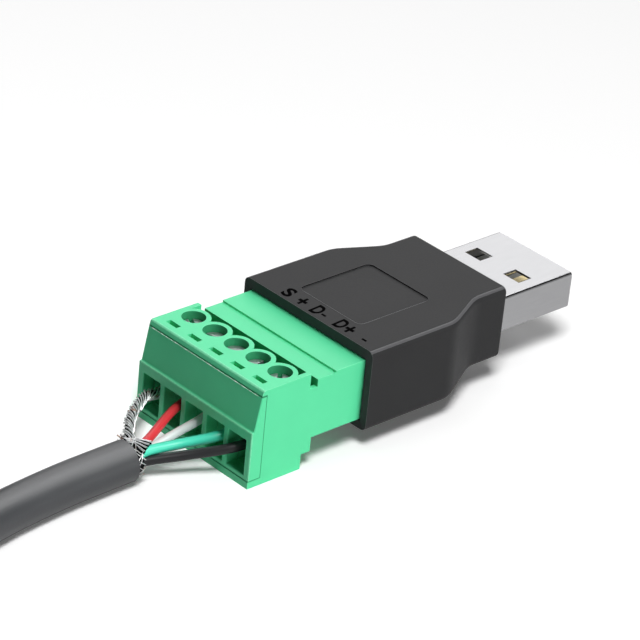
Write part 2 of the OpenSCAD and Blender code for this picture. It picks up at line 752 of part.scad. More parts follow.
case();
header_base();
header_pin(1);  // header_pin_1
header_pin(2);  // header_pin_2
header_pin(3);  // header_pin_3
header_pin(4);  // header_pin_4
header_pin(5);  // header_pin_5
board();
usb_shell();
usb_insulator();
usb_contact(1);  // usb_contact_1
usb_contact(2);  // usb_contact_2
usb_contact(3);  // usb_contact_3
usb_contact(4);  // usb_contact_4
plug_body();
plug_cover();
fork(1);  // fork_1
fork(2);  // fork_2
fork(3);  // fork_3
fork(4);  // fork_4
fork(5);  // fork_5
clamp_screw(1);  // clamp_screw_1
clamp_screw(2);  // clamp_screw_2
clamp_screw(3);  // clamp_screw_3
clamp_screw(4);  // clamp_screw_4
clamp_screw(5);  // clamp_screw_5
clamp_cage(1);  // clamp_cage_1
clamp_cage(2);  // clamp_cage_2
clamp_cage(3);  // clamp_cage_3
clamp_cage(4);  // clamp_cage_4
clamp_cage(5);  // clamp_cage_5
shield_twist();
wire_red();
wire_white();
wire_green();
wire_black();
braid_collar();
cable_lead();
cable_coil();
cable_tail();
cable_tie();
device_grip();
device_shell();
device_core();
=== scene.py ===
import math
import random

import bmesh
import bpy
from mathutils import Matrix, Vector


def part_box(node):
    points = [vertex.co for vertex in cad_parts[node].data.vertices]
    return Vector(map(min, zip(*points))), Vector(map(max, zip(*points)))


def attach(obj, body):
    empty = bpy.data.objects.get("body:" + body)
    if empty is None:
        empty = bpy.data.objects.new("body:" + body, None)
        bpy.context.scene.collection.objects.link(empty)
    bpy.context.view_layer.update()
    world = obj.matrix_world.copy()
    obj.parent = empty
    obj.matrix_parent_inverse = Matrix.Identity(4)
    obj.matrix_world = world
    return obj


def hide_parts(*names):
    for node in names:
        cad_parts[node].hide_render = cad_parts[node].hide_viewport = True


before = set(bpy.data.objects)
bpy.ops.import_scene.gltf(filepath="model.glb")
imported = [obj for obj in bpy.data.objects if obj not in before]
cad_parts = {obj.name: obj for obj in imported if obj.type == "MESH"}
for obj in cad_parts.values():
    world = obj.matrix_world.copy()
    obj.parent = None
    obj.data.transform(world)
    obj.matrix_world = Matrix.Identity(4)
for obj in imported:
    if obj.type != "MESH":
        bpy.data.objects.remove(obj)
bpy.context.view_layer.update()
mm = 0.001
scene = bpy.context.scene
scene.view_settings.view_transform = "Standard"
print("frame loaded:", len(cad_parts), "nodes")


def linear(code):  # sRGB hex to linear colour
    parts = [int(code[i:i + 2], 16) / 255 for i in (1, 3, 5)]
    return [c / 12.92 if c <= 0.04045 else ((c + 0.055) / 1.055) ** 2.4 for c in parts] + [1.0]


def addNode(tree, kind, inputs=None, **settings):  # one node, its settings, and its values or links
    node = tree.nodes.new(kind)
    for key, value in settings.items():
        setattr(node, key, value)
    for key, value in (inputs or {}).items():
        if isinstance(value, bpy.types.NodeSocket):
            tree.links.new(value, node.inputs[key])
        else:
            node.inputs[key].default_value = value
    return node


def link(obj):
    scene.collection.objects.link(obj)
    return obj


# Camera: where the photograph was taken from, found from the object's own edges
camera = {"azimuth": -44.781, "elevation": 28.595, "roll": 5.743, "eye": (-225.18, -223.59, 182.46),
          "lens": 187.04, "sensor": 36, "nearest": 0.01, "farthest": 20}


def makeCamera():
    around, above, roll = (math.radians(camera[k]) for k in ("azimuth", "elevation", "roll"))
    back = Vector((math.cos(above) * math.sin(around), -math.cos(above) * math.cos(around), math.sin(above)))
    level = Vector((math.cos(around), math.sin(around), 0))
    rise = back.cross(level)
    right = level * math.cos(roll) + rise * math.sin(roll)
    up = rise * math.cos(roll) - level * math.sin(roll)
    lens = bpy.data.cameras.new("studioCamera")
    lens.lens = camera["lens"]
    lens.sensor_width = camera["sensor"]
    lens.clip_start, lens.clip_end = camera["nearest"], camera["farthest"]
    eye = link(bpy.data.objects.new("studioCamera", lens))
    turned = Matrix((right, up, back)).transposed().to_4x4()
    eye.matrix_world = Matrix.Translation(Vector(camera["eye"]) * mm) @ turned
    scene.camera = eye


makeCamera()
print("camera placed")


def smoothRoute(points, steps):  # a rounded line through the points
    points = [Vector(p) for p in points]
    line = []
    for i in range(len(points) - 1):
        a, b = points[max(i - 1, 0)], points[i]
        c, d = points[i + 1], points[min(i + 2, len(points) - 1)]
        for k in range(steps):
            t = k / steps
            line.append(0.5 * (2 * b + (c - a) * t + (2 * a - 5 * b + 4 * c - d) * t ** 2
                               + (3 * b - a - 3 * c + d) * t ** 3))
    return line + [points[-1]]


# Round strands along lines, in millimetres; radii thins each strand point by point
def tubeCurve(name, lines, radius, material, body, radii=None, sides=4):
    curve = bpy.data.curves.new(name, "CURVE")
    curve.dimensions = "3D"
    curve.bevel_depth = radius * mm
    curve.bevel_resolution = sides
    curve.use_fill_caps = True
    for number, line in enumerate(lines):
        spline = curve.splines.new("POLY")
        spline.points.add(len(line) - 1)
        for i, p in enumerate(line):
            spline.points[i].co = (*(Vector(p) * mm), 1)
            spline.points[i].radius = radii[number][i] if radii else 1
        spline.use_smooth = True
    curve.materials.append(material)
    piece = link(bpy.data.objects.new(name, curve))
    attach(piece, body)
    return piece


def newMaterial(name):
    material = bpy.data.materials.new(name)
    material.use_nodes = True
    tree = material.node_tree
    shader = tree.nodes["Principled BSDF"]
    return material, tree, shader


# Three patterns on a shader: tone mixes its two shades, gloss varies its roughness, height is fine relief
def patternShader(tree, shader, look, make, tone, gloss, height):
    tint = addNode(tree, "ShaderNodeMix", {"Factor": tone.outputs["Fac"], "A": linear(look["dark"]),
                                           "B": linear(look["light"])}, data_type="RGBA")
    rough = addNode(tree, "ShaderNodeMapRange", {"Value": gloss.outputs["Fac"],
                                                 "To Min": look["rough"] - make["uneven"],
                                                 "To Max": look["rough"] + make["uneven"]})
    bump = addNode(tree, "ShaderNodeBump", {"Height": height.outputs["Fac"], "Strength": look["bump"],
                                            "Distance": make["reliefMm"] * mm})
    tree.links.new(tint.outputs["Result"], shader.inputs["Base Color"])
    tree.links.new(rough.outputs["Result"], shader.inputs["Roughness"])
    tree.links.new(bump.outputs["Normal"], shader.inputs["Normal"])


# Flexible PVC, extruded as a jacket or a sleeve: satin, a little cloudy, its grain coarse enough to show
extruded = {"uneven": 0.06, "reliefMm": 0.02, "ior": 1.53, "gloss": 0.5, "skinRough": 0.35}


def jacketPvc(name, look):
    material, tree, shader = newMaterial(name)
    place = addNode(tree, "ShaderNodeTexCoord").outputs["Object"]
    cloud = addNode(tree, "ShaderNodeTexNoise", {"Vector": place, "Detail": 3,
                                                 "Scale": 1 / (look["cloudMm"] * mm)})
    grain = addNode(tree, "ShaderNodeTexNoise", {"Vector": place, "Detail": 2,
                                                 "Scale": 1 / (look["grainMm"] * mm)})
    patternShader(tree, shader, look, extruded, cloud, cloud, grain)
    shader.inputs["IOR"].default_value = extruded["ior"]
    shader.inputs["Specular IOR Level"].default_value = look.get("gloss", extruded["gloss"])
    shader.inputs["Coat Weight"].default_value = look.get("skin", 0)
    shader.inputs["Coat Roughness"].default_value = extruded["skinRough"]
    return material


greyJacket = jacketPvc("greyJacketPvc", {
    "dark": "#212327", "light": "#2a2c30", "rough": 0.42, "gloss": 0.8, "skin": 0.25,
    "cloudMm": 6, "grainMm": 0.3, "bump": 0.7})

# Cable: a short lead to a neat coil, and a tail to the device plug; the same line as the solids
cable = {"diameter": 4.7, "jacketEnd": (-30.05, -0.55, 2.35), "straight": 1, "steps": 4, "sides": 6,
         "lead": [(-34, -0.6, 2.35), (-39.5, -0.8, 2.35), (-47, -1.6, 2.35), (-55, -3.4, 2.55),
                  (-63, -5.4, 2.95)],
         "tail": [(-64, 50.7, 7.55), (-58, 50.7, 5.45), (-50, 50.7, 5.25)]}
# Coil: two turns side by side in three layers; each turn crosses to the next place before it comes round
coil = {"centre": (-70, 22.35), "floor": 0.8, "radius": 26, "turns": 5.5, "turnSteps": 48, "crossing": 24,
        "crossed": 354, "start": -90}


def coilLine():
    d = cable["diameter"]
    near, far = coil["radius"] - d / 2, coil["radius"] + d / 2
    low = coil["floor"] + d / 2
    places = [(far, low), (near, low), (near, low + d),
              (near, low + 2 * d), (far, low + 2 * d), (far, low + d)]
    line = []
    for k in range(int(coil["turns"] * coil["turnSteps"]) + 1):
        angle = 360 * k / coil["turnSteps"]
        turn = min(int(angle // 360), len(places) - 2)
        rest = angle - 360 * turn
        begin = coil["crossed"] - coil["crossing"] * (turn + 1)  # before the place where the last one crossed
        t = min(max((rest - begin) / coil["crossing"], 0), 1)
        t = t * t * (3 - 2 * t)
        radius = places[turn][0] * (1 - t) + places[turn + 1][0] * t
        height = places[turn][1] * (1 - t) + places[turn + 1][1] * t
        around = math.radians(coil["start"] - angle)
        line.append(Vector((coil["centre"][0] + radius * math.cos(around),
                            coil["centre"][1] + radius * math.sin(around), height)))
    return line


def makeCable():
    start = Vector(cable["jacketEnd"])
    wound = coilLine()
    lead = smoothRoute([start - Vector((cable["straight"], 0, 0)), *cable["lead"], wound[0]], cable["steps"])
    tail = smoothRoute([wound[-1], *cable["tail"]], cable["steps"])
    line = [start, *lead[:-1], *wound, *tail[1:]]
    piece = tubeCurve("cableCord", [line], cable["diameter"] / 2, greyJacket, "terminal_plug",
                      sides=cable["sides"])
    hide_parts("cable_lead", "cable_coil", "cable_tail")
    length = sum((b - a).length for a, b in zip(line, line[1:])) * mm
    print("cable laid, metres:", round(length, 3))
    return piece, length


cord, cordLength = makeCable()

# Moulded plastics: one colour all through, uneven gloss, and a spark-eroded grain, coarse enough to show
moulded = {"uneven": 0.05, "reliefMm": 0.02, "ior": 1.53, "gloss": 0.5}


def mouldedPlastic(name, look):
    material, tree, shader = newMaterial(name)
    place = addNode(tree, "ShaderNodeTexCoord").outputs["Object"]
    cloud = addNode(tree, "ShaderNodeTexNoise", {"Vector": place, "Detail": 4,
                                                 "Scale": 1 / (look["cloudMm"] * mm)})
    grain = addNode(tree, "ShaderNodeTexNoise", {"Vector": place, "Detail": 3,
                                                 "Scale": 1 / (look["grainMm"] * mm)})
    patternShader(tree, shader, look, moulded, cloud, grain, grain)
    shader.inputs["IOR"].default_value = moulded["ior"]
    shader.inputs["Specular IOR Level"].default_value = look.get("gloss", moulded["gloss"])
    return material


# Sheet and wire metals: plated, with small changes of gloss and drawing lines, coarse enough to show
plated = {"uneven": 0.05, "reliefMm": 0.01}


def platedMetal(name, look):
    material, tree, shader = newMaterial(name)
    place = addNode(tree, "ShaderNodeTexCoord").outputs["Object"]
    drawn = addNode(tree, "ShaderNodeMapping", {"Vector": place, "Scale": look["stretch"]})
    lines = addNode(tree, "ShaderNodeTexNoise", {"Vector": drawn.outputs["Vector"], "Detail": 3,
                                                 "Scale": 1 / (look["lineMm"] * mm)})
    patternShader(tree, shader, look, plated, lines, lines, lines)
    shader.inputs["Metallic"].default_value = 1
    return material


# ABS with a matte spark grain: charcoal, soft broad highlights
charcoalAbs = mouldedPlastic("charcoalAbs", {
    "dark": "#242425", "light": "#2a2a2b", "rough": 0.5, "gloss": 0.2,
    "cloudMm": 5, "grainMm": 0.22, "bump": 0.3})
# Polyamide of terminal blocks: bright green, half gloss
greenPolyamide = mouldedPlastic("greenPolyamide", {
    "dark": "#58dca0", "light": "#5fe6a8", "rough": 0.38, "gloss": 0.3,
    "cloudMm": 4, "grainMm": 0.3, "bump": 0.12})
# PBT insulators: off white, matte
whitePbt = mouldedPlastic("whitePbt", {
    "dark": "#e6e6e1", "light": "#f0f0ec", "rough": 0.5, "cloudMm": 3, "grainMm": 0.3, "bump": 0.1})
# Nylon of the pin carrier and the cable's tie: black, matte
blackNylon = mouldedPlastic("blackNylon", {
    "dark": "#1d1d1f", "light": "#242426", "rough": 0.55, "cloudMm": 3, "grainMm": 0.2, "bump": 0.25})
# Moulded-on soft PVC of the device plug: black, matte
gripPvc = mouldedPlastic("gripPvc", {
    "dark": "#26272a", "light": "#2e2f32", "rough": 0.58, "cloudMm": 5, "grainMm": 0.35, "bump": 0.35})
# Glass-fibre laminate under green solder mask: smooth, with a sheen
maskedLaminate = mouldedPlastic("maskedLaminate", {
    "dark": "#175a30", "light": "#1f6b3a", "rough": 0.3, "cloudMm": 2, "grainMm": 0.5, "bump": 0.1})
# Bright nickel on folded steel sheet: mirrors the room, a little blurred
nickelSteel = platedMetal("nickelSteel", {
    "dark": "#bcbcbe", "light": "#c6c6c8", "rough": 0.13,
    "lineMm": 0.3, "stretch": (0.12, 1, 1), "bump": 0.03})
# Zinc on turned steel: cooler and less even than nickel
zincSteel = platedMetal("zincSteel", {
    "dark": "#b0b3b6", "light": "#d0d2d4", "rough": 0.48,
    "lineMm": 0.35, "stretch": (1, 1, 1), "bump": 0.1})
# Thin gold over nickel on phosphor bronze: pale, with a soft shine
goldPlate = platedMetal("goldPlate", {
    "dark": "#dfcc93", "light": "#ecdcae", "rough": 0.26,
    "lineMm": 0.3, "stretch": (0.1, 1, 1), "bump": 0.05})

# The same plastics, smoother, with a paler colour that is a painted highlight on edges and roundings
charcoalHighlit = mouldedPlastic("charcoalAbsHighlit", {
    "dark": "#4c4c4e", "light": "#565658", "rough": 0.32, "gloss": 0.5,
    "cloudMm": 2, "grainMm": 0.22, "bump": 0.1})
greenHighlit = mouldedPlastic("greenPolyamideHighlit", {
    "dark": "#74e8b0", "light": "#84f0bc", "rough": 0.28, "gloss": 0.5,
    "cloudMm": 2, "grainMm": 0.3, "bump": 0.06})
# The case's front face: matte, and paler than the case, a painted lift for a face in shade; the walls of its
# panel: painted shade
charcoalMatteLift = mouldedPlastic("charcoalAbsMatteLift", {
    "dark": "#464447", "light": "#4c4a4d", "rough": 0.7, "gloss": 0,
    "cloudMm": 3, "grainMm": 0.22, "bump": 0.2})
charcoalShade = mouldedPlastic("charcoalAbsShade", {
    "dark": "#121213", "light": "#181819", "rough": 0.7, "gloss": 0,
    "cloudMm": 3, "grainMm": 0.22, "bump": 0.2})
# The wells behind the towers, the screw holes and the seams: the same plastic with painted shade, darkest on
# the wells' floors
greenDarkShade = mouldedPlastic("greenPolyamideDarkShade", {
    "dark": "#0a3520", "light": "#0e4429", "rough": 0.6, "gloss": 0.2,
    "cloudMm": 2, "grainMm": 0.3, "bump": 0.2})
greenMidShade = mouldedPlastic("greenPolyamideMidShade", {
    "dark": "#2d905f", "light": "#339868", "rough": 0.6, "gloss": 0.2,
    "cloudMm": 2, "grainMm": 0.3, "bump": 0.2})

dress = {
    "header_base": blackNylon, "board": maskedLaminate, "usb_insulator": whitePbt, "device_core": whitePbt,
    "cable_tie": blackNylon, "device_grip": gripPvc, "device_shell": nickelSteel, "usb_shell": nickelSteel,
    "case": charcoalAbs, "plug_body": greenPolyamide, "plug_cover": greenPolyamide,
}
for number in range(1, 6):
    dress["header_pin_%d" % number] = goldPlate
    dress["fork_%d" % number] = goldPlate
    dress["clamp_screw_%d" % number] = zincSteel
    dress["clamp_cage_%d" % number] = zincSteel
for number in range(1, 5):
    dress["usb_contact_%d" % number] = goldPlate
for name, material in dress.items():
    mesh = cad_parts[name].data
    mesh.materials.clear()
    mesh.materials.append(material)
print("solids dressed:", len(dress))

# Rounded twins: the solids that show most, with their edges broken as a mould or a press leaves them
# well: heights of its floor and rear wall; bore: place, pitch and radius; seam: its rear, bottom and top
# highlit: a painted highlight on edges; paintedTone: painted shade, or on the case's front a painted lift;
# walls: painted shade on walls and seams
twins = {
    "caseSleeve": {"node": "case", "body": "housing", "edge": 0.12, "slot": "case_plastic", "panelEdge": 0.02,
                   "roundWidth": 0.4, "highlit": charcoalHighlit, "paintedTone": charcoalMatteLift, "walls": charcoalShade},
    "plugBlock": {"node": "plug_body", "body": "terminal_plug", "edge": 0.1, "slot": "green_plastic",
                  "highlit": greenHighlit, "paintedTone": greenDarkShade, "walls": greenMidShade, "lip": 0.2,
                  "well": (8.95, 10.45), "bore": (-15.3, 3.5, 1.4), "seam": (-18.9, 0.85, 10.9)},
    "plugFront": {"node": "plug_cover", "body": "terminal_plug", "edge": 0.16, "slot": "green_plastic",
                  "highlit": greenHighlit, "walls": greenMidShade, "seam": (-18.9, 0.85, 10.9)},
    "usbSleeve": {"node": "usb_shell", "body": "housing", "edge": 0.06, "slot": "nickel_steel"},
    "usbTongue": {"node": "usb_insulator", "body": "housing", "edge": 0.06, "slot": "white_plastic"},
    "deviceGrip": {"node": "device_grip", "body": "terminal_plug", "edge": 0.6, "slot": "grip_plastic",
                   "fore": -42},
    "deviceSleeve": {"node": "device_shell", "body": "terminal_plug", "edge": 0.12, "slot": "nickel_steel"},
    "tieBand": {"node": "cable_tie", "body": "terminal_plug", "edge": 0.15, "slot": "tie_plastic"},
}
for number in range(1, 6):
    twins["clampScrew%d" % number] = {"node": "clamp_screw_%d" % number, "body": "screw_%d" % number,
                                      "edge": 0.08, "slot": "screw_steel"}
# What tells the edges and faces to work on from the rest, in millimetres and degrees, or parts of a normal
telling = {"merge": 0.002, "flat": 0.5, "sharp": 32, "slack": 0.01, "lipLength": 10, "lipReach": 2,
           "panelDepth": 0.3, "panelSide": 6, "roofTilt": (0.7, 0.95), "seamHalf": 0.17, "upright": 0.2,
           "square": 0.99, "floorSlack": 0.02, "endPole": 2, "bendRadians": 0.1}
roundSteps = {"lip": 4, "edge": 3, "panelEdge": 2}


def breakEdges(bm, edges, look, kind):  # gives back the new faces that bulge
    cut = bmesh.ops.bevel(bm, geom=edges, offset=look[kind] * mm, offset_type="OFFSET", affect="EDGES",
                          segments=roundSteps[kind], profile=0.5, material=-1, clamp_overlap=True)
    bend = telling["bendRadians"]
    return [f for f in cut["faces"] if all(e.is_convex for e in f.edges if e.calc_face_angle(0) > bend)]


def roundTwin(bm, look, low, high):  # gives back the faces that get the painted highlight
    slack, panelFloor = telling["slack"] * mm, high.z - telling["panelDepth"] * mm
    if "lip" in look:  # the long front edge of the towers is the roundest
        reach = low.x + telling["lipReach"] * mm
        lip = [e for e in bm.edges if e.calc_length() > telling["lipLength"] * mm
               and all(v.co.z > high.z - slack and v.co.x < reach for v in e.verts)]
        for face in breakEdges(bm, lip, look, "lip"):
            face.material_index = 1  # the painted highlight, the first finish
    corners = [e for e in bm.edges if len(e.link_faces) == 2
               and e.calc_face_angle(0) > math.radians(telling["sharp"])]
    if "panelEdge" in look:  # the shallow panel on the roof keeps crisp edges
        side = telling["panelSide"] * mm
        fine = [e for e in corners if all(v.co.z > panelFloor and abs(v.co.y) < side for v in e.verts)]
        corners = [e for e in corners if e not in fine]
        breakEdges(bm, fine, look, "panelEdge")
    if "fore" in look:  # only the ends of the grip; its boot stays as it is
        fore = look["fore"] * mm - slack
        corners = [e for e in corners if e.is_convex and all(v.co.x > fore for v in e.verts)]
    wearAndSheen = breakEdges(bm, corners, look, "edge")
    if "roundWidth" in look:  # the narrow strips of the rounding along the roof get the painted highlight too
        least, most = telling["roofTilt"]
        wearAndSheen += [f for f in bm.faces if least < f.normal.z < most
                 and f.calc_area() < look["roundWidth"] * mm * max(e.calc_length() for e in f.edges)]
    return wearAndSheen


def onSeam(point, look):  # in the line where the front cover meets the body
    if "seam" not in look:
        return False
    back, bottom, top = look["seam"]
    level = min(abs(point.z - bottom), abs(point.z - top)) < telling["seamHalf"]
    return abs(point.x - back) < telling["seamHalf"] or (point.x < back and level)


def shadeTwin(bm, look, high, finishes):  # gives painted shade to faces that lie deep or in shade, and a painted lift to the case's front face
    for face in bm.faces:
        middle = face.calc_center_median()
        upright = abs(face.normal.z) < telling["upright"]
        ahead = face.normal.x < -telling["square"]
        if "well" in look:  # painted shade on the floor and rear wall of the wells, and on the round walls of the screw holes
            bottom, top = (h * mm for h in look["well"])
            x, pitch, radius = (v * mm for v in look["bore"])
            pole = min(max(round(middle.y / pitch), -telling["endPole"]), telling["endPole"]) * pitch
            toned = face.normal.z > telling["square"] and abs(middle.z - bottom) < telling["floorSlack"] * mm
            shaded = upright and middle.z > bottom and math.hypot(middle.x - x, middle.y - pole) < radius
            shaded = shaded or (ahead and bottom < middle.z < top and middle.x > x + radius)
        else:  # painted lift on the front face, painted shade on the walls of the panel
            toned = ahead
            shaded = upright and middle.z > high.z - telling["panelDepth"] * mm
        if toned or shaded:
            face.material_index = finishes.index("walls" if shaded else "paintedTone") + 1


def makeTwin(name, look):
    bm = bmesh.new()
    bm.from_mesh(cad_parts[look["node"]].data)
    bmesh.ops.remove_doubles(bm, verts=bm.verts, dist=telling["merge"] * mm)
    bmesh.ops.dissolve_limit(bm, angle_limit=math.radians(telling["flat"]), verts=bm.verts, edges=bm.edges)
    low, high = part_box(look["node"])
    wearAndSheen = roundTwin(bm, look, low, high)
    finishes = [f for f in ("highlit", "paintedTone", "walls") if f in look]
    # Bevelled faces get the painted highlight, and painted shade where they lie in the seam
    for face in wearAndSheen if finishes else []:
        seam = onSeam(face.calc_center_median() / mm, look)
        face.material_index = finishes.index("walls" if seam else "highlit") + 1
    if "paintedTone" in look:
        shadeTwin(bm, look, high, finishes)
    for face in bm.faces:
        face.smooth = True
    mesh = bpy.data.meshes.new(name)
    bm.to_mesh(mesh)
    bm.free()
    mesh.materials.append(dress[look["node"]])
    for finish in finishes:
        mesh.materials.append(look[finish])
    piece = link(bpy.data.objects.new(name, mesh))
    piece.modifiers.new("evenFacing", "WEIGHTED_NORMAL")
    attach(piece, look["body"])
    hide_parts(look["node"])
    return piece


# Panel rim: a fine raised strand in the highlight finish, a painted highlight as a light line along the
# panel's front and near edges
rim = {"front": -2.2, "near": -5, "far": 4.15, "rear": 7.65, "corner": 0.8, "thick": 0.05, "proud": 0.03}


def makeRim():
    turn = [math.radians(a) for a in range(180, 271, 10)]  # a quarter turn round the corner
    x, y, r = rim["front"] + rim["corner"], rim["near"] + rim["corner"], rim["corner"]
    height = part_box("case")[1].z / mm + rim["proud"] - rim["thick"]
    line = [(rim["front"], rim["far"]), *[(x + r * math.cos(a), y + r * math.sin(a)) for a in turn],
            (rim["rear"], rim["near"])]
    piece = tubeCurve("panelHighlightRim", [[(*p, height) for p in line]], rim["thick"], charcoalHighlit, "housing",
                      sides=2)


# Seam line: a thin ragged near-white strand along the seam below the towers' lip, a painted highlight
seamLine = {"x": -19.69, "z": 10.76, "side": 8.65, "thick": 0.05, "steps": 80, "stray": 0.01,
         "thinnest": 0.4, "thin": (-0.2, 1)}
seamHighlightPolyamide = mouldedPlastic("seamHighlightPolyamide", {
    "dark": "#d8f8ea", "light": "#ecfdf5", "rough": 0.5, "cloudMm": 1, "grainMm": 0.2, "bump": 0.1})


def makeSeamLine():
    random.seed(7)
    line = []
    for k in range(seamLine["steps"] + 1):
        z = seamLine["z"] + random.uniform(-seamLine["stray"], seamLine["stray"])
        line.append((seamLine["x"], seamLine["side"] * (2 * k / seamLine["steps"] - 1), z))
    ragged = [max(seamLine["thinnest"], random.uniform(*seamLine["thin"])) for _ in line]
    piece = tubeCurve("seamHighlightLine", [line], seamLine["thick"], seamHighlightPolyamide, "terminal_plug", [ragged], 2)


rounded = {name: makeTwin(name, look) for name, look in twins.items()}
makeRim()
makeSeamLine()
print("edges broken on", len(twins), "pieces")

# Tinned copper strands: silvery, with copper showing where the tin is thin
tinned = {"tin": "#e4e5e6", "copper": "#c08a6a", "patchMm": 1.1, "wearAndSheen": (0.58, 0.72), "rough": (0.28, 0.45)}


def tinnedStrands(name):
    material, tree, shader = newMaterial(name)
    place = addNode(tree, "ShaderNodeTexCoord").outputs["Object"]
    patch = addNode(tree, "ShaderNodeTexNoise", {"Vector": place, "Detail": 2,
                                                 "Scale": 1 / (tinned["patchMm"] * mm)})
    wearAndSheen = addNode(tree, "ShaderNodeMapRange", {"Value": patch.outputs["Fac"], "From Min": tinned["wearAndSheen"][0],
                                                "From Max": tinned["wearAndSheen"][1]})
    tint = addNode(tree, "ShaderNodeMix", {"Factor": wearAndSheen.outputs["Result"], "A": linear(tinned["tin"]),
                                           "B": linear(tinned["copper"])}, data_type="RGBA")
    rough = addNode(tree, "ShaderNodeMapRange", {"Value": patch.outputs["Fac"], "To Min": tinned["rough"][0],
                                                 "To Max": tinned["rough"][1]})
    tree.links.new(tint.outputs["Result"], shader.inputs["Base Color"])
    tree.links.new(rough.outputs["Result"], shader.inputs["Roughness"])
    shader.inputs["Metallic"].default_value = 1
    return material


tinnedCopper = tinnedStrands("tinnedCopper")
# Near-black metal under the strands: painted shade in the gaps between and under them
shadeCoreTin = platedMetal("shadeCoreTin", {
    "dark": "#0c0c0e", "light": "#1e1e20", "rough": 0.65,
    "lineMm": 0.25, "stretch": (1, 1, 1), "bump": 0.3})

# Wires: PVC sleeves, satin, from the jacket's end to the clamps; along x a route counts from that end
wires = {
    "redWire": {"node": "wire_red", "pole": 3.5, "start": (0.05, 2.95), "slot": "red_sleeve",
                "thick": 0.5, "dark": "#d62f38", "light": "#e63c44",
                "route": [(3.2, 0.15, 3.3), (7.5, 2.05, 3.85), (9.6, 2.8, 4.1)]},
    "whiteWire": {"node": "wire_white", "pole": 0, "start": (0.05, 1.75), "slot": "white_sleeve",
                  "thick": 0.5, "dark": "#ecf4f4", "light": "#f4f8f8",
                  "route": [(2.6, 0.3, 1.9), (5.5, 0.6, 2.15), (8, 0.3, 2.9), (10, -0.2, 3.75)]},
    "mintWire": {"node": "wire_green", "pole": -3.5, "start": (-1.15, 2.95), "slot": "green_sleeve",
                 "thick": 0.56, "dark": "#3bdcb6", "light": "#50eccb",
                 "route": [(2.5, -1.2, 3.1), (5.9, -2.1, 3.2), (9.8, -4.1, 4)]},
    "blackWire": {"node": "wire_black", "pole": -7, "start": (-1.15, 1.75), "slot": "black_sleeve",
                  "thick": 0.56, "dark": "#131416", "light": "#1c1d20",
                  "route": [(1.9, -1.4, 2.1), (5.9, -3.8, 2.75), (9.4, -6.3, 3.65)]},
}
sleeve = {"rough": 0.38, "cloudMm": 2, "grainMm": 0.3, "bump": 0.15}
# Where the wires leave the collar, run straight, are stripped and end, and the height of the clamps
clamp = {"collar": 1.0, "straight": 1, "stripX": -17, "coreX": -14.1, "height": 4.1, "coreRadius": 0.25,
         "steps": 8}


def makeWires():
    x = cable["jacketEnd"][0]
    for name, wire in wires.items():
        pvc = jacketPvc(name + "Sleeve", {"dark": wire["dark"], "light": wire["light"], **sleeve})
        strip = Vector((clamp["stripX"], wire["pole"], clamp["height"]))
        route = [(x + p[0], p[1], p[2]) for p in wire["route"]]
        bend = smoothRoute([(x + clamp["collar"], *wire["start"]), *route,
                            strip - Vector((clamp["straight"], 0, 0))], clamp["steps"])
        line = [Vector((x, *wire["start"])), *bend, strip]
        piece = tubeCurve(name, [line], wire["thick"], pvc, "terminal_plug")
        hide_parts(wire["node"])
        end = Vector((clamp["coreX"], wire["pole"], clamp["height"]))
        core = tubeCurve(name + "Core", [[strip, end]], clamp["coreRadius"], tinnedCopper, "terminal_plug")


makeWires()
print("wires run")

# Shield: strands of the cut braid, twisted into the first clamp; at the jacket they fan out and flatten
twist = {"strands": 9, "radius": 0.56, "thick": 0.09, "pitch": 4.8, "wander": 0.05, "lag": 0.12, "phase": 6.3,
         "wave": (1.2, 2.2), "fan": 0.75, "fanLength": 1.6, "flatten": 0.5, "flattenOver": 0.3, "lean": 35,
         "collarRadius": 1.975, "core": 0.43, "coreFrom": 3, "pole": 7, "pressFrom": 0.6, "press": 0.55,
         "steps": 12,
         "route": [(3.9, 3.75, 3.8), (6.4, 5.75, 3.6), (8.9, 7.05, 3.6), (10.3, 7.15, 3.3),
                   (11.8, 7.05, 3.55)]}


def twistLine():  # the middle of the bundle, from the braid's edge to the clamp
    (x, y, z), out = cable["jacketEnd"], twist["collarRadius"]
    lean = math.radians(twist["lean"])
    start = Vector((x + clamp["collar"], y + out * math.cos(lean), z + out * math.sin(lean)))
    bend = [(x + p[0], p[1], p[2]) for p in twist["route"]]
    held = [(end, twist["pole"], clamp["height"]) for end in (clamp["stripX"], clamp["coreX"])]
    level = start + Vector((clamp["collar"] / 2, 0, 0))
    return [start, *smoothRoute([level, *bend, *held], twist["steps"])]


def makeTwist():
    line = twistLine()
    strands = [[] for _ in range(twist["strands"])]
    random.seed(2)
    stray = [(random.uniform(-twist["lag"], twist["lag"]), random.uniform(0, twist["phase"]),
              random.uniform(*twist["wave"])) for _ in strands]
    gone = 0
    for i, p in enumerate(line):
        ahead = (line[min(i + 1, len(line) - 1)] - line[max(i - 1, 0)]).normalized()
        side = ahead.cross(Vector((0, 0, 1))).normalized()
        up = side.cross(ahead)
        if i:
            gone += (p - line[i - 1]).length
        spread = twist["radius"] + twist["fan"] * max(0, 1 - gone / twist["fanLength"]) ** 2
        if p.x > clamp["stripX"] - twist["pressFrom"]:
            spread *= twist["press"]  # pressed together under the clamp
        fanned = min(1, max(0, (spread - twist["radius"]) / twist["flattenOver"]))
        flat = 1 - twist["flatten"] * fanned
        for k, (strand, (lag, phase, wave)) in enumerate(zip(strands, stray)):
            turn = 2 * math.pi * (k / len(strands) + gone / twist["pitch"]) + lag
            away = spread + twist["wander"] * math.sin(phase + wave * gone)
            strand.append(p + away * (side * math.cos(turn) + up * math.sin(turn) * flat))
    piece = tubeCurve("shieldTwist", strands, twist["thick"], tinnedCopper, "terminal_plug", sides=2)
    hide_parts("shield_twist")
    # a near-black core in the twist: painted shade between its strands
    heart = tubeCurve("shieldHeart", [line[twist["coreFrom"]:]], twist["core"], shadeCoreTin, "terminal_plug")


makeTwist()

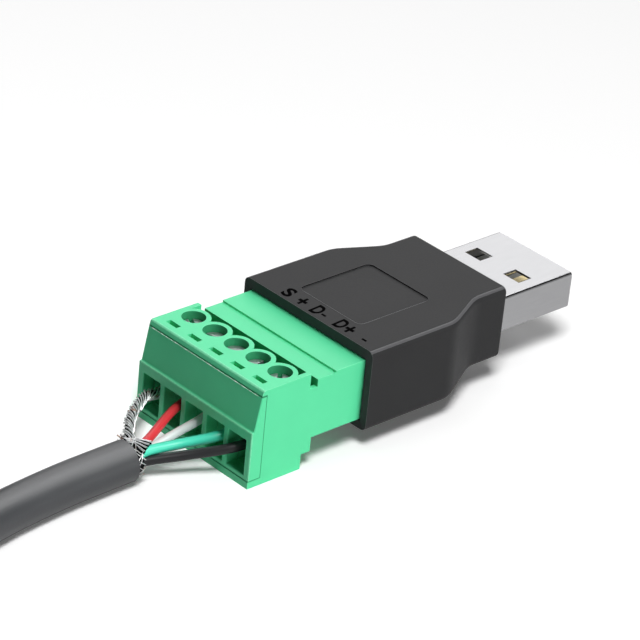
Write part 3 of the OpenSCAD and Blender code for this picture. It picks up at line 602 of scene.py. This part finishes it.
# Collar: the braid's cut end, two layers of strands that cross, a little ragged
collar = {"strands": 15, "steps": 6, "thick": 0.05, "inner": 1.93, "outer": 2.03, "uneven": 6, "lean": 40,
          "leanSpread": (0.6, 1.3), "length": 1, "rooted": 0.2, "ragged": 0.2, "raggedAhead": 0.6,
          "flare": (-0.06, 0.1), "ripple": 0.05, "ripples": 9, "core": 1.86, "coreEnds": (-0.3, 0.92)}
# Tuft: a fan of cut strands that runs from the foot of the twist over the roots of the wires
tuft = {"root": (0.9, 1.05, 3.85), "rise": 0.1, "heart": 0.22, "strands": 2, "apart": 0.2, "sway": 0.02,
        "steps": 8, "over": (-0.06, -0.06, 0.198), "rootThin": 0.4, "swell": 1.2,
        "ends": [(3, -0.96, 3.72), (2.44, -1.24, 3.7), (1.9, -1.49, 3.62), (1.35, -1.77, 3.5)]}


def collarStrands():
    random.seed(4)
    x, y, z = cable["jacketEnd"]
    x -= collar["rooted"]
    strands = []
    for layer, way in ((collar["inner"], 1), (collar["outer"], -1)):
        for k in range(collar["strands"]):
            begin = 360 * k / collar["strands"] + random.uniform(-collar["uneven"], collar["uneven"])
            lean = way * collar["lean"] * random.uniform(*collar["leanSpread"])
            ragged = random.uniform(-collar["ragged"], collar["ragged"] * collar["raggedAhead"])
            reach = collar["length"] + ragged + collar["rooted"]
            flare = random.uniform(*collar["flare"])
            strand = []
            for i in range(collar["steps"] + 1):
                t = i / collar["steps"]
                turn = math.radians(begin + lean * t)
                radius = layer + flare * t * t + collar["ripple"] * math.sin(collar["ripples"] * t + k)
                strand.append((x + reach * t, y + radius * math.cos(turn), z + radius * math.sin(turn)))
            strands.append(strand)
    return strands


def tuftStrands():
    random.seed(11)
    foot = Vector((cable["jacketEnd"][0], 0, 0))
    root = foot + Vector(tuft["root"])
    hearts, strands = [], []
    for end in tuft["ends"]:
        tip = foot + Vector(end)
        crest = (root + tip) / 2 + Vector((0, 0, tuft["rise"]))
        heart = smoothRoute([root, crest, tip], tuft["steps"])
        side = (tip - root).cross(Vector((0, 0, 1))).normalized()
        hearts.append(heart)
        for k in range(tuft["strands"]):
            apart = tuft["apart"] * (k - (tuft["strands"] - 1) / 2)
            strand = []
            for i, p in enumerate(heart):
                t = i / (len(heart) - 1)
                sway = Vector([random.uniform(-tuft["sway"], tuft["sway"]) for _ in range(3)])
                strand.append(p + side * apart * t + Vector(tuft["over"]) + sway)
            strands.append(strand)
    return hearts, strands


def makeCollar():
    x, y, z = cable["jacketEnd"]
    strands = collarStrands()
    hearts, loose = tuftStrands()
    slim = [[min(1, tuft["rootThin"] + tuft["swell"] * i / (len(line) - 1)) for i in range(len(line))]
            for line in hearts]
    # near-black cores under the tuft's and the collar's strands: painted shade between them
    lockCore = tubeCurve("tuftCore", hearts, tuft["heart"], shadeCoreTin, "terminal_plug", slim, 2)
    core = tubeCurve("collarCore", [[(x + end, y, z) for end in collar["coreEnds"]]], collar["core"], shadeCoreTin,
                     "terminal_plug", sides=6)
    piece = tubeCurve("braidCollar", strands + loose, collar["thick"], tinnedCopper, "terminal_plug", sides=2)
    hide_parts("braid_collar")


makeCollar()
print("shield twisted")

# Pole marks on the roof: black pad print; middle, height and width of each sign
marks = {"size": 2.7, "lift": 0.015, "bold": 0.08, "lean": -0.1, "turn": -90,
         "signs": [("S", -3.72, 4.71, 1.95, 1.36), ("+", -3.79, 2.39, 1.6, 1.2), ("D", -3.7, 0.06, 2, 1.3),
                   ("-", -3.97, -1.18, 0.27, 0.68), ("D", -3.67, -3.66, 2, 1.3),
                   ("+", -3.71, -5.08, 1.6, 1.2), ("-", -4, -7.64, 0.27, 0.7)]}
# Ink of a pad print: a thin black film, flat and without gloss
padPrintInk = mouldedPlastic("padPrintInk", {
    "dark": "#050505", "light": "#0b0b0c", "rough": 0.6, "gloss": 0,
    "cloudMm": 1, "grainMm": 0.3, "bump": 0.05})


def makeMarks():
    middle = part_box("case")[1].z + marks["lift"] * mm / 2
    turned = Matrix.Rotation(math.radians(marks["turn"]), 4, "Z")
    for number, (sign, x, y, height, width) in enumerate(marks["signs"], 1):
        text = bpy.data.curves.new("poleMark%d" % number, "FONT")
        text.body = sign
        text.size = marks["size"] * mm
        text.offset = marks["bold"] * mm
        text.extrude = marks["lift"] * mm / 2
        text.shear = marks["lean"]
        letter = link(bpy.data.objects.new("letter", text))
        bpy.context.view_layer.update()
        mesh = bpy.data.meshes.new_from_object(letter.evaluated_get(bpy.context.evaluated_depsgraph_get()))
        bpy.data.objects.remove(letter)
        low = Vector([min(v.co[i] for v in mesh.vertices) for i in range(3)])
        high = Vector([max(v.co[i] for v in mesh.vertices) for i in range(3)])
        fit = Matrix.Diagonal((width * mm / (high.x - low.x), height * mm / (high.y - low.y), 1, 1))
        centred = Matrix.Translation(-(low + high) / 2)
        mesh.transform(Matrix.Translation((x * mm, y * mm, middle)) @ turned @ fit @ centred)
        mesh.materials.clear()
        mesh.materials.append(padPrintInk)
        piece = link(bpy.data.objects.new("poleMark%d" % number, mesh))
        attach(piece, "housing")


makeMarks()
print("marks printed")

# Floor: white paper; it glows a little where it is seen, and throws back less light than it seems to
paper = {"size": 6, "seen": 0.97, "mirrored": 0.55, "bounce": 0.68, "lift": 0.1}


def makeFloor():
    bm = bmesh.new()
    bmesh.ops.create_grid(bm, x_segments=1, y_segments=1, size=paper["size"] / 2)
    mesh = bpy.data.meshes.new("floor")
    bm.to_mesh(mesh)
    bm.free()
    floor = link(bpy.data.objects.new("floor", mesh))
    material, tree, shader = newMaterial("paperFloor")
    tree.nodes.remove(shader)
    rays = addNode(tree, "ShaderNodeLightPath").outputs
    mirrored = addNode(tree, "ShaderNodeMath", {0: rays["Is Glossy Ray"], 1: rays["Is Transmission Ray"]},
                       operation="MAXIMUM")
    seen = addNode(tree, "ShaderNodeMath", {0: mirrored.outputs[0], 1: rays["Is Camera Ray"]},
                   operation="MAXIMUM")
    tone = addNode(tree, "ShaderNodeMix", {"Factor": mirrored.outputs[0], "A": paper["bounce"],
                                           "B": paper["mirrored"]})
    tone = addNode(tree, "ShaderNodeMix", {"Factor": rays["Is Camera Ray"], "A": tone.outputs["Result"],
                                           "B": paper["seen"]})
    sheet = addNode(tree, "ShaderNodeBsdfDiffuse", {"Color": tone.outputs["Result"]})
    lift = addNode(tree, "ShaderNodeMath", {0: seen.outputs[0], 1: paper["lift"]}, operation="MULTIPLY")
    glow = addNode(tree, "ShaderNodeEmission", {"Color": (1, 1, 1, 1), "Strength": lift.outputs[0]})
    both = addNode(tree, "ShaderNodeAddShader", {0: sheet.outputs[0], 1: glow.outputs[0]})
    tree.links.new(both.outputs[0], tree.nodes["Material Output"].inputs["Surface"])
    mesh.materials.append(material)
    return floor


# Sky: a bright patch high on one side, dim elsewhere; metal mirrors a paler sky, with a dark gap in it
sky = {"bright": 1.4, "dim": 0.03, "brightWay": (0.58, 0.58, 0.57), "brightEdge": (0.88, 0.97),
       "mirrored": 0.35, "gapWay": (0.65, -0.2, 0.73), "gapEdge": (0.84, 0.9)}


def makeSky():
    world = bpy.data.worlds.new("studioWorld")
    scene.world = world
    world.use_nodes = True
    tree = world.node_tree
    way = addNode(tree, "ShaderNodeTexCoord").outputs["Generated"]
    facing = addNode(tree, "ShaderNodeVectorMath", {0: way, 1: sky["brightWay"]}, operation="DOT_PRODUCT")
    patch = addNode(tree, "ShaderNodeMapRange", {
        "Value": facing.outputs["Value"], "From Min": sky["brightEdge"][0], "From Max": sky["brightEdge"][1],
        "To Min": sky["dim"], "To Max": sky["bright"]}, interpolation_type="SMOOTHSTEP")
    gap = addNode(tree, "ShaderNodeVectorMath", {0: way, 1: sky["gapWay"]}, operation="DOT_PRODUCT")
    pale = addNode(tree, "ShaderNodeMapRange", {
        "Value": gap.outputs["Value"], "From Min": sky["gapEdge"][0], "From Max": sky["gapEdge"][1],
        "To Min": sky["mirrored"], "To Max": sky["dim"]}, interpolation_type="SMOOTHSTEP")
    rays = addNode(tree, "ShaderNodeLightPath").outputs
    mirrored = addNode(tree, "ShaderNodeMath", {0: rays["Is Glossy Ray"], 1: rays["Is Transmission Ray"]},
                       operation="MAXIMUM")
    shown = addNode(tree, "ShaderNodeMath", {0: pale.outputs["Result"], 1: mirrored.outputs[0]},
                    operation="MULTIPLY")
    total = addNode(tree, "ShaderNodeMath", {0: patch.outputs["Result"], 1: shown.outputs[0]},
                    operation="MAXIMUM")
    back = tree.nodes["Background"]
    back.inputs["Color"].default_value = (1, 1, 1, 1)
    tree.links.new(total.outputs[0], back.inputs["Strength"])


# Lamps: a strip at the back for the edges, a high key, a low one at the near side, and weaker fills; the
# paper has two lamps of its own in place of these, and the cord has one more for its highlight
lamps = [
    {"name": "backStrip", "place": (0.36, 0.36, 0.74), "across": (-1, 1, 0), "length": 0.9, "width": 0.12,
     "watts": 1.4},
    {"name": "key", "place": (0.1, -0.5, 0.74), "across": (1, 0.2, 0), "length": 0.42, "width": 0.36,
     "watts": 7.5},
    {"name": "nearSide", "place": (0.14, -0.87, 0.16), "across": (0.87, 0.14, 0), "length": 0.4, "width": 0.2,
     "watts": 1.7},
    {"name": "frontFill", "place": (-0.75, 0.35, 0.25), "across": (0.35, 0.75, 0), "length": 0.3,
     "width": 0.3, "watts": 0.6},
    {"name": "backFill", "place": (0.5, 0.85, 0.12), "across": (-0.85, 0.5, 0), "length": 0.5, "width": 0.2,
     "watts": 4.5, "unseen": True},
    {"name": "endFill", "place": (0.9, 0.05, 0.24), "across": (0, 1, 0), "length": 0.3, "width": 0.15,
     "watts": 0.8, "unseen": True},
    {"name": "paperLamp", "place": (-0.32, -0.33, 0.82), "across": (1, -1, 0), "length": 0.3, "width": 0.3,
     "watts": 8.4, "lights": "paperOnly"},
    {"name": "paperTop", "place": (-0.09, 0.09, 0.9), "across": (1, 1, 0), "length": 0.25, "width": 0.25,
     "watts": 0.5, "lights": "paperOnly"},
    {"name": "cordTop", "place": (0.227, -0.029, 0.42), "across": (0, 1, 0), "length": 0.28, "width": 0.28,
     "watts": 0.7, "lights": "cordOnly"},
]


def makeLamps(floor):
    for name, lit, state in (("paperOnly", floor, "INCLUDE"), ("allButPaper", floor, "EXCLUDE"),
                             ("cordOnly", cord, "INCLUDE")):
        group = bpy.data.collections.new(name)
        group.objects.link(lit)
        group.collection_objects[0].light_linking.link_state = state
    for lamp in lamps:
        data = bpy.data.lights.new(lamp["name"], "AREA")
        data.shape = "RECTANGLE"
        data.size, data.size_y = lamp["length"], lamp["width"]
        data.energy = lamp["watts"]
        obj = link(bpy.data.objects.new(lamp["name"], data))
        obj.visible_glossy = "unseen" not in lamp
        obj.light_linking.receiver_collection = bpy.data.collections[lamp.get("lights", "allButPaper")]
        away, across = Vector(lamp["place"]).normalized(), Vector(lamp["across"]).normalized()
        turned = Matrix((across, away.cross(across), away)).transposed().to_4x4()
        obj.matrix_world = Matrix.Translation(lamp["place"]) @ turned


makeLamps(makeFloor())
makeSky()
print("studio lit")
